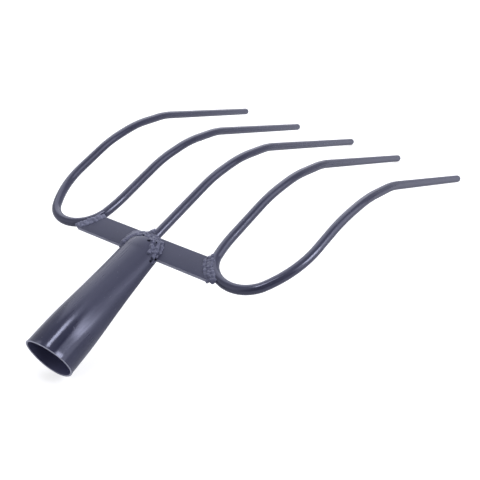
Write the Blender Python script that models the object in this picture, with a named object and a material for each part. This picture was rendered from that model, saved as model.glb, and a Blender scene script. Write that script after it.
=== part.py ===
"""A welded five-tine fork head that takes a wooden handle. Metres, +Z up.

Five steel pieces are joined by weld runs: a tapered handle socket, a flat
crossbar, two rods bent to a U, whose legs are the outer and inner tines, and a
straight centre tine. They are drawn flat in the head's own frame (X along the
bar, Y forward from the bar's front edge, Z up from its middle plane), and the
whole head is then set down on the surface that it lies on.
"""

import math

import bmesh
import bpy
import numpy as np
from mathutils import Vector

# Rods and tines, with lengths measured forward from the bar's front edge before bending
ROD_DIAMETER = 0.008
CENTRE_TINE_LENGTH = 0.4076
INNER_TINE_LENGTH = 0.3901
OUTER_TINE_LENGTH = 0.3798
ROD_SHIFT = 0.0031
CENTRE_TINE_SPLAY = math.radians(0.14)
INNER_TINE_OFFSET = 0.0593
INNER_TINE_SPLAY = math.radians(1.78)
OUTER_TINE_SPLAY = math.radians(3.87)
U_START = 0.0283
U_LEAD_RADIUS = 0.132
U_LEAD_TURN = math.radians(9.8)
U_TIGHT_RADIUS = 0.0276
U_TIGHT_TURN = math.radians(138.7)
U_WIDE_RADIUS = 0.1057
TIP_CHAMFER = 0.0012
TIP_CHAMFER_LENGTH = 0.0015
CENTRE_TIP_CHAMFER = 0.0024
CENTRE_TIP_LENGTH = 0.004

# Three press bends down each tine, which come a little sooner and sharper from left to right
FIRST_BEND_PLACE = 0.0865
FIRST_BEND_ANGLE = math.radians(11.6)
FIRST_BEND_LENGTH = 0.032
SECOND_BEND_PLACE = 0.1296
SECOND_BEND_ANGLE = math.radians(11.4)
SECOND_BEND_LENGTH = 0.032
THIRD_BEND_PLACE = 0.1796
THIRD_BEND_ANGLE = math.radians(9.8)
THIRD_BEND_LENGTH = 0.024
BEND_ADVANCE_PER_TINE = 0.0024
DROOP_PER_TINE = math.radians(0.67)

# Crossbar, with ends cut on a slant beside the bent rods
BAR_WIDTH = 0.021
BAR_THICKNESS = 0.0035
BAR_END_SLANT = math.radians(34.6)

# Handle socket, an oval tube that straddles the bar
SOCKET_DIAMETER = 0.0405
SOCKET_WALL = 0.0015
SOCKET_LENGTH = 0.1094
SOCKET_STRAIGHT = 0.027
MOUTH_FLARE = 0.0004
MOUTH_FLARE_LENGTH = 0.004
SOCKET_PITCH = math.radians(4.1)
SOCKET_YAW = math.radians(0.25)
SOCKET_WIDTH_AT_BAR = 0.0352
SOCKET_HEIGHT_AT_BAR = 0.020
SOCKET_NOSE = 0.0145
SOCKET_NOSE_WIDTH = 0.021
SOCKET_NOSE_HEIGHT = 0.0112
MOUTH_CUT_YAW = math.radians(3.1)
MOUTH_CUT_PITCH = math.radians(1.8)

# Weld runs
WELD_WIDTH = 0.008
WELD_HEIGHT = 0.0052
WELD_RIPPLE = 0.08
WELD_RIPPLE_PITCH = 2.3
WELD_END_TAPER = 0.7
CENTRE_WELD_WIDTH = 0.005

# Fit between pieces, and how finely round shapes are faceted
CLEARANCE = 0.0003
ROD_SIDES = 12
ARC_STEP = math.radians(10)
BEND_STEPS = 4
SOCKET_SIDES = 36
SOCKET_NOSE_STEPS = 4
WELD_POINTS = 9
WELD_SIDES = 8
CUTTER_REACH = 0.002
WELD_DISTANCE = 1e-6

# Paint, as linear colour, roughness and metallic value
SOCKET_PAINT = ((0.090, 0.093, 0.142), 0.30, 0.15)
BAR_PAINT = ((0.091, 0.093, 0.141), 0.45, 0.10)
ROD_PAINT = ((0.084, 0.086, 0.130), 0.32, 0.15)
WELD_PAINT = ((0.097, 0.099, 0.148), 0.38, 0.15)

BENDS = (
    (FIRST_BEND_PLACE, FIRST_BEND_ANGLE, FIRST_BEND_LENGTH),
    (SECOND_BEND_PLACE, SECOND_BEND_ANGLE, SECOND_BEND_LENGTH),
    (THIRD_BEND_PLACE, THIRD_BEND_ANGLE, THIRD_BEND_LENGTH),
)
TINES = (-2, -1, 0, 1, 2)
ROD_RADIUS = ROD_DIAMETER / 2
BAR_HALF = BAR_THICKNESS / 2
BACK = math.radians(-90)
TIGHT_HEADING = BACK - INNER_TINE_SPLAY + U_LEAD_TURN


def clear_scene():
    for obj in list(bpy.data.objects):
        bpy.data.objects.remove(obj)


def paint(name, finish):
    colour, roughness, metallic = finish
    material = bpy.data.materials.new(name)
    material.use_nodes = True
    shader = material.node_tree.nodes["Principled BSDF"]
    shader.inputs["Base Color"].default_value = (*colour, 1.0)
    shader.inputs["Roughness"].default_value = roughness
    shader.inputs["Metallic"].default_value = metallic
    return material


def add_piece(name, mesh, parent, finish):
    piece = bpy.data.objects.new(name, mesh)
    bpy.context.collection.objects.link(piece)
    piece.parent = parent
    mesh.materials.append(paint(name + "_paint", finish))
    mesh.shade_smooth()
    mesh.set_sharp_from_angle(angle=math.radians(40))
    return piece


def add_cutter(name, mesh, parent):
    cutter = bpy.data.objects.new(name, mesh)
    bpy.context.collection.objects.link(cutter)
    cutter.parent = parent
    cutter.hide_render = True
    cutter.display_type = "WIRE"
    return cutter


def cut(piece, cutters):
    for cutter in cutters:
        modifier = piece.modifiers.new("cut_" + cutter.name, "BOOLEAN")
        modifier.operation = "DIFFERENCE"
        modifier.solver = "EXACT"
        modifier.object = cutter


def finished(bm, name):
    bmesh.ops.remove_doubles(bm, verts=bm.verts, dist=WELD_DISTANCE)
    bmesh.ops.recalc_face_normals(bm, faces=bm.faces)
    mesh = bpy.data.meshes.new(name)
    bm.to_mesh(mesh)
    bm.free()
    return mesh


def tube_mesh(name, points, radius, factors, sides):
    """A closed round tube along points, with its radius scaled by a factor at each of them."""
    curve = bpy.data.curves.new(name, "CURVE")
    curve.dimensions = "3D"
    curve.bevel_depth = radius
    curve.bevel_resolution = sides // 2 - 2
    curve.use_fill_caps = True
    spline = curve.splines.new("POLY")
    spline.points.add(len(points) - 1)
    for spot, point, factor in zip(spline.points, points, factors):
        spot.co = (*point, 1.0)
        spot.radius = factor
    guide = bpy.data.objects.new(name, curve)
    bpy.context.collection.objects.link(guide)
    graph = bpy.context.evaluated_depsgraph_get()
    bm = bmesh.new()
    bm.from_mesh(guide.evaluated_get(graph).to_mesh())
    bpy.data.objects.remove(guide)
    return finished(bm, name)


def loft_mesh(name, rings, ring_to_ring):
    """Joins rings of points to one closed skin, end to end or, as a shell, back to the first ring."""
    bm = bmesh.new()
    loops = [[bm.verts.new(point) for point in ring] for ring in rings]
    pairs = list(zip(loops, loops[1:]))
    if ring_to_ring:
        pairs.append((loops[-1], loops[0]))
    else:
        bm.faces.new(loops[0])
        bm.faces.new(loops[-1])
    for first, second in pairs:
        for i, corner in enumerate(first):
            bm.faces.new((first[i - 1], corner, second[i], second[i - 1]))
    return finished(bm, name)


def tine_length(tine):
    """Developed length of a tine, counted -2 to 2 from left to right: both rods sit off centre in their U."""
    if tine == 0:
        return CENTRE_TINE_LENGTH
    if abs(tine) == 1:
        return INNER_TINE_LENGTH + math.copysign(ROD_SHIFT, tine)
    return OUTER_TINE_LENGTH - math.copysign(ROD_SHIFT, tine)


def side_profile(distance, tine):
    """Forward and up place, and slope, at a developed distance along a tine."""
    forward, up, slope, reached = 0.0, 0.0, 0.0, 0.0
    for place, angle, length in BENDS:
        start = place - BEND_ADVANCE_PER_TINE * tine - length / 2
        rate = (angle + DROOP_PER_TINE * tine / len(BENDS)) / length
        straight = min(distance, start) - reached
        forward += straight * math.cos(slope)
        up += straight * math.sin(slope)
        if distance <= start:
            return forward, up, slope
        bent = slope - rate * min(distance - start, length)
        forward += (math.sin(slope) - math.sin(bent)) / rate
        up += (math.cos(bent) - math.cos(slope)) / rate
        slope = bent
        reached = min(distance, start + length)
    forward += (distance - reached) * math.cos(slope)
    up += (distance - reached) * math.sin(slope)
    return forward, up, slope


def leg_distances(start, length, tip_length, tine):
    """Where a leg needs a point: along each bend, where its tip starts and at its end."""
    distances = [start]
    for place, _, bend_length in BENDS:
        first = place - BEND_ADVANCE_PER_TINE * tine - bend_length / 2
        distances += [first + bend_length * step / BEND_STEPS for step in range(BEND_STEPS + 1)]
    return distances + [length - tip_length, length]


def leg_points(base, splay, length, tip_length, tine):
    points = []
    for distance in leg_distances(base.y, length, tip_length, tine):
        forward, up, _ = side_profile(distance, tine)
        points.append(Vector((base.x + (distance - base.y) * math.tan(splay), forward, up)))
    return points


def arc_points(start, heading, radius, turn):
    """Plan points of an arc that turns left from a heading, without its first point."""
    centre = start + radius * Vector((-math.sin(heading), math.cos(heading), 0))
    steps = max(2, round(turn / ARC_STEP))
    angles = [heading + turn * step / steps for step in range(1, steps + 1)]
    return [centre + radius * Vector((math.sin(a), -math.cos(a), 0)) for a in angles]


def u_base():
    """Where the inner leg of the right rod runs into its U."""
    return Vector((INNER_TINE_OFFSET, U_START, 0))


def lead_points():
    """The slack first part of the right rod's U, up to its tight part."""
    return arc_points(u_base(), BACK - INNER_TINE_SPLAY, U_LEAD_RADIUS, U_LEAD_TURN)


def pair_points(side):
    """Centreline of the rod on one side (1 right, -1 left), from its inner tip round the U to its outer tip."""
    inner = leg_points(u_base(), INNER_TINE_SPLAY, tine_length(side), TIP_CHAMFER_LENGTH, side)
    lead = lead_points()
    tight = arc_points(lead[-1], TIGHT_HEADING, U_TIGHT_RADIUS, U_TIGHT_TURN)
    wide_heading = TIGHT_HEADING + U_TIGHT_TURN
    wide_turn = -BACK - OUTER_TINE_SPLAY - wide_heading
    wide = arc_points(tight[-1], wide_heading, U_WIDE_RADIUS, wide_turn)
    outer = leg_points(wide[-1], OUTER_TINE_SPLAY, tine_length(2 * side), TIP_CHAMFER_LENGTH, 2 * side)
    points = inner[::-1] + lead + tight + wide + outer[1:]
    return [Vector((side * point.x, point.y, point.z)) for point in points]


def centre_tine_points():
    base = Vector((0, CLEARANCE, 0))
    return leg_points(base, CENTRE_TINE_SPLAY, tine_length(0), CENTRE_TIP_LENGTH, 0)


def pair_factors(count):
    """Radius factors of a rod with chamfered tips at both ends."""
    tip = 1 - TIP_CHAMFER / ROD_RADIUS
    return [tip] + [1.0] * (count - 2) + [tip]


def add_tine_pair(name, points, parent):
    mesh = tube_mesh(name, points, ROD_RADIUS, pair_factors(len(points)), ROD_SIDES)
    return add_piece(name, mesh, parent, ROD_PAINT)


def add_centre_tine(points, parent):
    factors = [1.0] * (len(points) - 1) + [1 - CENTRE_TIP_CHAMFER / ROD_RADIUS]
    mesh = tube_mesh("centre_tine", points, ROD_RADIUS, factors, ROD_SIDES)
    return add_piece("centre_tine", mesh, parent, ROD_PAINT)


def add_rod_cutter(name, points, parent):
    mesh = tube_mesh(name, points, ROD_RADIUS + CLEARANCE, [1.0] * len(points), ROD_SIDES)
    return add_cutter(name, mesh, parent)


def u_centre():
    """Plan centre of the tight arc of the right rod's U."""
    inward = Vector((-math.sin(TIGHT_HEADING), math.cos(TIGHT_HEADING), 0))
    return lead_points()[-1] + U_TIGHT_RADIUS * inward


def bar_end(y, margin):
    """Half length of the bar at y: its slanted end stays clear of the outside of the rod's U."""
    centre = u_centre()
    reach = U_TIGHT_RADIUS + ROD_RADIUS + CLEARANCE - margin
    along = (y - centre.y) * math.sin(BAR_END_SLANT)
    return centre.x - (reach + along) / math.cos(BAR_END_SLANT)


def bar_mesh(name, margin):
    """The bar as a flat plate with slanted ends, grown by a margin on every side."""
    front = margin
    rear = -BAR_WIDTH - margin
    outline = (
        (bar_end(front, margin), front),
        (-bar_end(front, margin), front),
        (-bar_end(rear, margin), rear),
        (bar_end(rear, margin), rear),
    )
    half = BAR_HALF + margin
    rings = [[(x, y, z) for x, y in outline] for z in (-half, half)]
    return loft_mesh(name, rings, ring_to_ring=False)


def socket_stations():
    """Distance from the mouth, half width and half height of the socket's sections."""
    mouth = SOCKET_DIAMETER / 2
    width = SOCKET_WIDTH_AT_BAR / 2
    height = SOCKET_HEIGHT_AT_BAR / 2
    stations = [
        (0.0, mouth + MOUTH_FLARE, mouth + MOUTH_FLARE),
        (MOUTH_FLARE_LENGTH, mouth, mouth),
        (SOCKET_STRAIGHT, mouth, mouth),
    ]
    for step in range(SOCKET_NOSE_STEPS + 1):
        share = math.sin(math.pi / 2 * step / SOCKET_NOSE_STEPS)
        rounding = 1 - math.sqrt(1 - share**2)
        stations.append(
            (
                SOCKET_LENGTH + SOCKET_NOSE * share,
                width + (SOCKET_NOSE_WIDTH / 2 - width) * rounding,
                height + (SOCKET_NOSE_HEIGHT / 2 - height) * rounding,
            )
        )
    return stations


def socket_ring(station, growth):
    """An oval section of the socket in its own frame, Y along its axis from the bar's rear edge."""
    distance, half_width, half_height = station
    ring = []
    for side in range(SOCKET_SIDES):
        angle = math.tau * side / SOCKET_SIDES
        x = (half_width + growth) * math.cos(angle)
        z = (half_height + growth) * math.sin(angle)
        y = distance - SOCKET_LENGTH
        if distance == 0:
            y += x * math.tan(MOUTH_CUT_YAW) + z * math.tan(MOUTH_CUT_PITCH)
        ring.append((x, y, z))
    return ring


def place_on_socket_axis(obj):
    obj.location = (0, -BAR_WIDTH, 0)
    obj.rotation_euler = (SOCKET_PITCH, 0, SOCKET_YAW)


def add_socket(parent, bar_cutter):
    stations = socket_stations()
    outside = [socket_ring(station, 0.0) for station in stations]
    inside = [socket_ring(station, -SOCKET_WALL) for station in stations]
    socket = add_piece("socket", loft_mesh("socket", outside + inside[::-1], True), parent, SOCKET_PAINT)
    place_on_socket_axis(socket)
    cut(socket, [bar_cutter])
    return socket


def add_socket_cutter(parent):
    stations = socket_stations()
    rings = [socket_ring(station, CLEARANCE) for station in stations]
    last = stations[-1]
    rings.append(socket_ring((last[0] + CLEARANCE, *last[1:]), CLEARANCE))
    cutter = add_cutter("socket_cutter", loft_mesh("socket_cutter", rings, False), parent)
    place_on_socket_axis(cutter)
    return cutter


def spread(start, end):
    """Shares from 0 to 1 along a weld run, turned into values from start to end."""
    return [start + (end - start) * i / (WELD_POINTS - 1) for i in range(WELD_POINTS)]


def add_weld(name, path, width, height, parent, cutters):
    """A rippled bead along a level path, with its section flattened to its height, cut by what it joins."""
    factors = [1 + WELD_RIPPLE * math.sin(WELD_RIPPLE_PITCH * i) for i in range(len(path))]
    factors[0] *= WELD_END_TAPER
    factors[-1] *= WELD_END_TAPER
    mesh = tube_mesh(name, path, width / 2, factors, WELD_SIDES)
    level = path[0].z
    for vertex in mesh.vertices:
        vertex.co.z = level + (vertex.co.z - level) * height / width
    weld = add_piece(name, mesh, parent, WELD_PAINT)
    cut(weld, cutters)
    return weld


def bar_end_path(side, up):
    """Along the seam between a slanted bar end and the outside of the rod, from front to rear."""
    centre = u_centre()
    reach = U_TIGHT_RADIUS + ROD_RADIUS + WELD_WIDTH / 5
    first = math.asin((centre.y + WELD_WIDTH / 3) / reach)
    last = math.asin((centre.y + BAR_WIDTH - WELD_WIDTH / 4) / reach)
    level = up * (WELD_HEIGHT * (1 + WELD_RIPPLE) / 2 + CLEARANCE)
    path = []
    for angle in spread(first, last):
        x = centre.x - reach * math.cos(angle)
        y = centre.y - reach * math.sin(angle)
        path.append(Vector((side * x, y, level)))
    return path


def nose_outline(share):
    """Half width and forward place of the socket's nose at a share of its length over the bar."""
    rounding = 1 - math.sqrt(1 - share**2)
    half_width = (SOCKET_WIDTH_AT_BAR + (SOCKET_NOSE_WIDTH - SOCKET_WIDTH_AT_BAR) * rounding) / 2
    return half_width, -BAR_WIDTH + SOCKET_NOSE * share


def socket_side_path(side, up):
    """Along one flank of the socket's nose, on a face of the bar, from the rear edge forward."""
    level = up * (BAR_HALF + WELD_HEIGHT / 3)
    path = []
    for share in spread(0.25, 0.95):
        half_width, forward = nose_outline(share)
        path.append(Vector((side * (half_width + WELD_WIDTH / 8), forward, level)))
    return path


def socket_front_path(up):
    """Across the end of the socket's nose, on a face of the bar, from left to right."""
    level = up * (BAR_HALF + WELD_HEIGHT / 3)
    half = SOCKET_NOSE_WIDTH / 2 - WELD_WIDTH / 4
    forward = (SOCKET_NOSE - BAR_WIDTH) / 2
    return [Vector((x, forward, level)) for x in spread(-half, half)]


def centre_tine_path():
    """In the corner between the bar's front edge and the left side of the centre tine."""
    outer = ROD_RADIUS + CENTRE_WELD_WIDTH
    path = []
    for share in spread(0.0, 1.0):
        x = outer + (ROD_RADIUS - outer) * share
        y = CLEARANCE + CENTRE_WELD_WIDTH * share
        path.append(Vector((-x, y, 0)))
    return path


def add_welds(parent, bar_cutter, socket_cutter, rod_cutters):
    left_rod, centre_rod, right_rod = rod_cutters
    for face, up in (("top", 1), ("under", -1)):
        for hand, side, rod in (("left", -1, left_rod), ("right", 1, right_rod)):
            path = bar_end_path(side, up)
            add_weld(f"{hand}_end_weld_{face}", path, WELD_WIDTH, WELD_HEIGHT, parent, [bar_cutter, rod])
            path = socket_side_path(side, up)
            cutters = [bar_cutter, socket_cutter]
            add_weld(f"socket_{hand}_weld_{face}", path, WELD_WIDTH, WELD_HEIGHT, parent, cutters)
        cutters = [bar_cutter, socket_cutter, centre_rod]
        path = socket_front_path(up)
        add_weld(f"socket_front_weld_{face}", path, WELD_WIDTH, WELD_HEIGHT, parent, cutters)
    cutters = [bar_cutter, centre_rod]
    add_weld("centre_weld", centre_tine_path(), CENTRE_WELD_WIDTH, CENTRE_WELD_WIDTH, parent, cutters)


def rest_pitch():
    """Turn about X that brings the mouth's lowest point and the lowest tip to one level."""
    radius = SOCKET_DIAMETER / 2 + MOUTH_FLARE
    along = -SOCKET_LENGTH - radius * math.tan(MOUTH_CUT_PITCH)
    mouth_y = -BAR_WIDTH + along * math.cos(SOCKET_PITCH) + radius * math.sin(SOCKET_PITCH)
    mouth_z = along * math.sin(SOCKET_PITCH) - radius * math.cos(SOCKET_PITCH)
    pitches = []
    for tine in TINES:
        forward, up, slope = side_profile(tine_length(tine) - TIP_CHAMFER_LENGTH, tine)
        tip_y = forward + ROD_RADIUS * math.sin(slope)
        tip_z = up - ROD_RADIUS * math.cos(slope)
        pitches.append(math.atan2(mouth_z - tip_z, tip_y - mouth_y))
    return max(pitches)


def set_down(head, pieces):
    """Moves the head so that the bottom centre of its box is the origin."""
    bpy.context.view_layer.update()
    graph = bpy.context.evaluated_depsgraph_get()
    corners = []
    for piece in pieces:
        evaluated = piece.evaluated_get(graph)
        points = np.array([evaluated.matrix_world @ v.co for v in evaluated.data.vertices])
        corners += [points.min(axis=0), points.max(axis=0)]
    low = np.min(corners, axis=0)
    high = np.max(corners, axis=0)
    head.location = (-(low[0] + high[0]) / 2, -(low[1] + high[1]) / 2, -low[2])


def main():
    clear_scene()
    head = bpy.data.objects.new("fork_head", None)
    bpy.context.collection.objects.link(head)
    head.rotation_euler.x = rest_pitch()
    left = pair_points(-1)
    centre = centre_tine_points()
    right = pair_points(1)
    bar_cutter = add_cutter("bar_cutter", bar_mesh("bar_cutter", CLEARANCE), head)
    socket_cutter = add_socket_cutter(head)
    rod_cutters = [
        add_rod_cutter("left_rod_cutter", left, head),
        add_rod_cutter("centre_rod_cutter", [centre[0] - Vector((0, CUTTER_REACH, 0))] + centre, head),
        add_rod_cutter("right_rod_cutter", right, head),
    ]
    add_socket(head, bar_cutter)
    add_piece("crossbar", bar_mesh("crossbar", 0.0), head, BAR_PAINT)
    add_tine_pair("left_tine_pair", left, head)
    add_tine_pair("right_tine_pair", right, head)
    add_centre_tine(centre, head)
    add_welds(head, bar_cutter, socket_cutter, rod_cutters)
    set_down(head, [obj for obj in head.children if not obj.hide_render])


main()
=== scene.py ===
"""The look of a welded five-tine fork head, as a Blender add-on. Metres, +Z up.

Each operator builds one piece or a group of like pieces in the head's own frame (X along the
crossbar, Y forward from the bar's front edge, Z up from its middle plane), which is read from
the crossbar of the CAD frame. The stage operator adds the floor, the lamps and the camera.
"""

import math
import random

import bmesh
import bpy
import numpy as np
from bpy.props import FloatProperty, FloatVectorProperty, IntProperty, PointerProperty
from bpy.types import Operator, Panel, PropertyGroup
from mathutils import Euler, Matrix, Vector, noise


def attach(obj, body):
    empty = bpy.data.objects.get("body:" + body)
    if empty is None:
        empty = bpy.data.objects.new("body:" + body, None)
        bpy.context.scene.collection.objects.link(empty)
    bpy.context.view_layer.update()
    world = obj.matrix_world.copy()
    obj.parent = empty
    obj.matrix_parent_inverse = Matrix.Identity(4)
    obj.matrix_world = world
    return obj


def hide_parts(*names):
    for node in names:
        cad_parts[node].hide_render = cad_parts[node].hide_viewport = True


bl_info = {
    "name": "Fork head",
    "version": (1, 0, 0),
    "blender": (4, 5, 0),
    "location": "3D View > Sidebar > Fork",
    "description": "Builds a welded fork head piece by piece and sets it on a white studio floor",
    "category": "Object",
}

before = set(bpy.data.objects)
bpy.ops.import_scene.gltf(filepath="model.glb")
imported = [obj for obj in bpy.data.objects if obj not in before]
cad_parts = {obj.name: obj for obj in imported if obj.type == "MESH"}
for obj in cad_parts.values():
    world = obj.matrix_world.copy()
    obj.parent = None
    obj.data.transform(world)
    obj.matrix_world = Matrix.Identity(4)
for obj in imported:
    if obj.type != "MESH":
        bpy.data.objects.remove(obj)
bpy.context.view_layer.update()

# How finely round shapes are drawn
ROD_SIDES = 32
ROD_STEP = 0.0025
ARC_STEP = math.radians(2.5)
TIP_SHARES = (0.0, 0.3, 0.55, 0.75, 0.9, 1.0)
BAR_STEPS = 90
BAR_CORNER_STEPS = 5
SOCKET_SIDES = 120
SOCKET_BODY_STEPS = 70
SOCKET_NOSE_STEPS = 24
RIPPLE_SUBDIVISIONS = 3
WELD_VOXEL = 0.00032
SHARP_ANGLE = math.radians(38)

# Sizes of the uneven marks in each surface
ROD_MARK = 0.006
BAR_MARK = 0.014
SOCKET_MARK = 0.018
WELD_MARK = 0.0027
WELD_FINE_MARK = 0.0009

# Heading from the tips straight back to the socket
BACK = math.radians(-90)

# Decimals of a metre to which two corners of the CAD bar are the same
SAME_CORNER = 5

# Share of the wall that is rounded off at each edge of the socket's rim
RIM_EDGE = 0.25

# How squarely a face of the bar looks forward or back to get the painted sheen of its front and rear faces
SHEEN_FACING = 0.6

# Millimetres in a metre
MILLIMETRES = 1000.0

WHITE = (1.0, 1.0, 1.0, 1.0)


def length(name, default, description):
    return FloatProperty(name=name, description=description, default=default, unit="LENGTH", precision=5)


def turn(name, degrees, description):
    default = math.radians(degrees)
    return FloatProperty(name=name, description=description, default=default, subtype="ANGLE")


def number(name, default, description):
    return FloatProperty(name=name, description=description, default=default)


def count(name, default, description):
    return IntProperty(name=name, description=description, default=default)


def colour(name, default, description):
    return FloatVectorProperty(
        name=name, description=description, default=default, subtype="COLOR", size=3, min=0, max=1
    )


def place(name, default, description):
    return FloatVectorProperty(
        name=name, description=description, default=default, subtype="TRANSLATION", size=3, precision=5
    )


class TineSizes(PropertyGroup):
    """Sizes of the round rods, with lengths measured forward from the bar before bending."""

    rod_diameter: length("Rod diameter", 0.008, "Diameter of the round rod")
    centre_length: length("Centre tine", 0.4076, "Developed length of the centre tine")
    inner_length: length("Inner tines", 0.3901, "Mean developed length of the inner tines")
    outer_length: length("Outer tines", 0.3798, "Mean developed length of the outer tines")
    rod_shift: length("Rod shift", 0.0031, "How far each rod sits off centre in its U")
    centre_splay: turn("Centre splay", 0.14, "Turn of the centre tine to the right")
    inner_offset: length("Inner offset", 0.0593, "Distance of an inner tine from the middle at its base")
    inner_splay: turn("Inner splay", 1.78, "Turn of an inner tine away from the middle")
    outer_splay: turn("Outer splay", 3.87, "Turn of an outer tine away from the middle")
    u_start: length("U start", 0.0283, "Where the U bend starts in front of the bar")
    u_lead_radius: length("U lead radius", 0.132, "Radius of the slack first part of the U bend")
    u_lead_turn: turn("U lead turn", 9.8, "Turn of the slack first part of the U bend")
    u_tight_radius: length("U tight radius", 0.0276, "Radius of the tight part of the U bend")
    u_tight_turn: turn("U tight turn", 138.7, "Turn of the tight part of the U bend")
    u_wide_radius: length("U wide radius", 0.1057, "Radius of the rest of the U bend")
    first_bend_place: length("First bend", 0.0865, "Middle of the first bend down")
    first_bend_angle: turn("First bend angle", 11.6, "Turn of the first bend down")
    first_bend_length: length("First bend length", 0.032, "Length of rod in the first bend down")
    second_bend_place: length("Second bend", 0.1296, "Middle of the second bend down")
    second_bend_angle: turn("Second bend angle", 11.4, "Turn of the second bend down")
    second_bend_length: length("Second bend length", 0.032, "Length of rod in the second bend down")
    third_bend_place: length("Third bend", 0.1796, "Middle of the third bend down")
    third_bend_angle: turn("Third bend angle", 9.8, "Turn of the third bend down")
    third_bend_length: length("Third bend length", 0.024, "Length of rod in the third bend down")
    bend_advance: length("Bend advance", 0.0024, "How much sooner each tine bends than the one on its left")
    droop: turn("Droop", 0.67, "How much more each tine bends than the one on its left")
    tip_chamfer: length("Tip chamfer", 0.0013, "Worn edge at the end of the paired tines")
    tip_length: length("Tip length", 0.0026, "Length of that worn edge")
    centre_tip_chamfer: length("Centre tip chamfer", 0.0025, "Worn edge at the end of the centre tine")
    centre_tip_length: length("Centre tip length", 0.0042, "Length of that worn edge")
    press_flat: number("Press flat", 0.03, "Share by which a press bend flattens the rod")
    bend_oval: number("Bend oval", 0.025, "Share by which the U bend narrows the rod")
    unevenness: length("Unevenness", 0.00004, "Rolling marks on the rod's surface")


class BarSizes(PropertyGroup):
    """Sizes of the flat crossbar."""

    width: length("Width", 0.021, "Width of the flat bar")
    thickness: length("Thickness", 0.0035, "Thickness of the flat bar")
    end_slant: turn("End slant", 34.6, "Slant of the cut ends")
    end_gap: length("End gap", 0.0003, "Gap between a cut end and the rod")
    edge_radius: length("Edge radius", 0.0006, "Rounding of the rolled long edges")
    end_radius: length("End radius", 0.0003, "Rounding of the cut ends")
    unevenness: length("Unevenness", 0.00005, "Rolling marks on the flat faces")


class SocketSizes(PropertyGroup):
    """Sizes of the tapered handle socket."""

    diameter: length("Diameter", 0.0405, "Outside diameter of the straight part")
    wall: length("Wall", 0.0015, "Thickness of the tube's wall")
    tube_length: length("Tube length", 0.1094, "From the mouth to the rear edge of the bar")
    straight: length("Straight", 0.027, "Length of the straight part behind the taper")
    taper_ease: length("Taper ease", 0.014, "Length over which the straight part runs into the taper")
    waist: length("Waist", 0.0006, "How far the taper is drawn in half way along it")
    dent: length("Dent", 0.00045, "Depth of the pressed dent on the right of the taper's start")
    dent_place: length("Dent place", 0.038, "Distance of the dent from the mouth")
    dent_length: length("Dent length", 0.017, "Half length of the dent")
    dent_angle: turn("Dent angle", 42.0, "Place of the dent round the tube, up from the right")
    dent_spread: turn("Dent spread", 13.0, "Half width of the dent round the tube")
    flare: length("Flare", 0.0004, "How much the mouth opens out at its rim")
    flare_length: length("Flare length", 0.004, "Length of that flare")
    pitch: turn("Pitch", 4.1, "Slope of the socket against the bar")
    yaw: turn("Yaw", 0.25, "Turn of the socket against the bar")
    width_at_bar: length("Width at the bar", 0.0352, "Width of the oval at the bar's rear edge")
    height_at_bar: length("Height at the bar", 0.020, "Height of the oval at the bar's rear edge")
    nose: length("Nose", 0.0145, "How far the rounded end reaches over the bar")
    nose_width: length("Nose width", 0.021, "Width of the opening at the end of the nose")
    nose_height: length("Nose height", 0.0112, "Height of the opening at the end of the nose")
    cut_yaw: turn("Cut yaw", 3.1, "Turn of the mouth's cut")
    cut_pitch: turn("Cut pitch", 1.8, "Slope of the mouth's cut")
    cut_saddle: length("Cut saddle", 0.0004, "How far the rim is from lying in one plane")
    unevenness: length("Unevenness", 0.00009, "Hammer and rolling marks in the wall")


class SmoothWeldSizes(PropertyGroup):
    """Sizes of the well run welds."""

    step: length("Step", 0.0010, "Distance between the ripples")
    wander: length("Wander", 0.0005, "How far the ripples lie off their line")
    grain: length("Grain", 0.00020, "Depth of the marks in the surface")
    flat: number("Flatness", 0.6, "Height of the ripples against their width")
    rounds: count("Rounds", 6, "Rounds of smoothing after the ripples are melted together")


class RoughWeldSizes(PropertyGroup):
    """Sizes of the badly run welds."""

    step: length("Step", 0.0014, "Distance between the ripples")
    wander: length("Wander", 0.0006, "How far the ripples lie off their line")
    grain: length("Grain", 0.00032, "Depth of the marks in the surface")
    flat: number("Flatness", 0.7, "Height of the ripples against their width")
    rounds: count("Rounds", 3, "Rounds of smoothing after the ripples are melted together")


class PaintLook(PropertyGroup):
    """The dark semi-gloss paint over everything."""

    shade: colour("Shade", (0.019, 0.020, 0.039), "Paint where the coat is thick")
    light: colour("Light", (0.028, 0.029, 0.054), "Paint where the coat is thin")
    # Both weld tones are lighter than the paint elsewhere: painted light, for the light that the lumpy welds
    # catch
    weld_shade: colour("Weld shade", (0.044, 0.046, 0.078), "Paint on the welds where the coat is thick")
    weld_light: colour("Weld light", (0.092, 0.095, 0.142), "Paint on the welds where the coat is thin")
    # Painted light: a lighter colour inside the socket, standing in for the light that bounces in through
    # the mouth
    inside: colour("Inside", (0.066, 0.067, 0.132), "Thin paint inside the socket")
    # Painted shade: black for the shade in the welds' pits and crevices
    pit_shade: colour("Slag", (0.004, 0.004, 0.008), "Black slag in the pits of the welds")
    # Painted light: a still lighter weld colour for the left end and centre welds, which catch more light
    weld_brighter_lit: colour("Pale weld", (0.13, 0.134, 0.19), "Lightest paint on the left end and centre welds")
    # This light colour is the specks and the socket's rim, and also painted light: the sheen on the bar's
    # front and rear faces and the lighter rod tips
    edge: colour("Edge", (0.36, 0.365, 0.44), "Paint rubbed thin on an edge")
    gloss_tint: colour("Gloss tint", (0.78, 0.80, 1.0), "Colour of the paint's reflections")
    tube_roughness: number("Tube roughness", 0.17, "Roughness of the paint at the socket's mouth")
    taper_roughness: number("Taper roughness", 0.30, "Roughness of the paint on the socket's pressed part")
    rod_roughness: number("Rod roughness", 0.16, "Roughness of the paint on the rods")
    rod_rim_dullness: number("Rod rim dullness", 0.36, "Added roughness where a rod is seen at a slant")
    matte_side: number("Matte side", 0.24, "Added roughness on the right of the socket's pressed part")
    bar_roughness: number("Bar roughness", 0.45, "Roughness of the paint on the bar")
    weld_roughness: number("Weld roughness", 0.34, "Roughness of the paint on the welds")


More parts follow.
